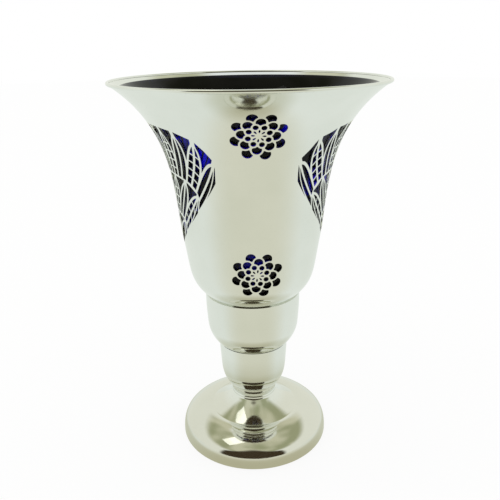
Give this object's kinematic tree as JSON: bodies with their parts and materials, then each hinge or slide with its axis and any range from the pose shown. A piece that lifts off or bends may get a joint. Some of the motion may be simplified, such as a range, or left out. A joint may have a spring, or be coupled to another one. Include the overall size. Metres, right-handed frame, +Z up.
{
  "type": "trumpet vase",
  "caption": "Tall trumpet vase of pierced silver-plated sheet over a removable blue glass liner, on a two-tier stem and a round domed foot.",
  "frame": {"origin": "middle of the circle that the foot stands on", "axes": "+Z up along the vase's axis, -Y towards the front rosettes, the two large pierced panels face -X and +X"},
  "size_m": [0.1714, 0.1714, 0.25],
  "materials": {
    "silver_plate": "polished silver plate",
    "blue_glass": "dark cobalt blue glass",
    "cork": "plain cork",
    "washer_leather": "brown leather",
    "plain_brass": "plain turned brass"
  },
  "bodies": {
    "vase": {"pierced_body": "silver_plate", "rim_wire": "silver_plate", "liner_pad": "cork", "upper_tier": "silver_plate", "lower_tier": "silver_plate", "stem_collar": "silver_plate", "foot": "silver_plate", "foot_band": "silver_plate", "foot_ring": "silver_plate", "tie_bolt": "plain_brass", "bowl_washer": "washer_leather", "clamp_washer": "plain_brass", "clamp_nut": "plain_brass"},
    "liner": {"glass_liner": "blue_glass"}
  },
  "joints": [
    {"name": "liner_lift", "type": "slide", "parent": "vase", "child": "liner", "axis": [0, 0, 1], "range_m": [0, 0.145]}
  ]
}
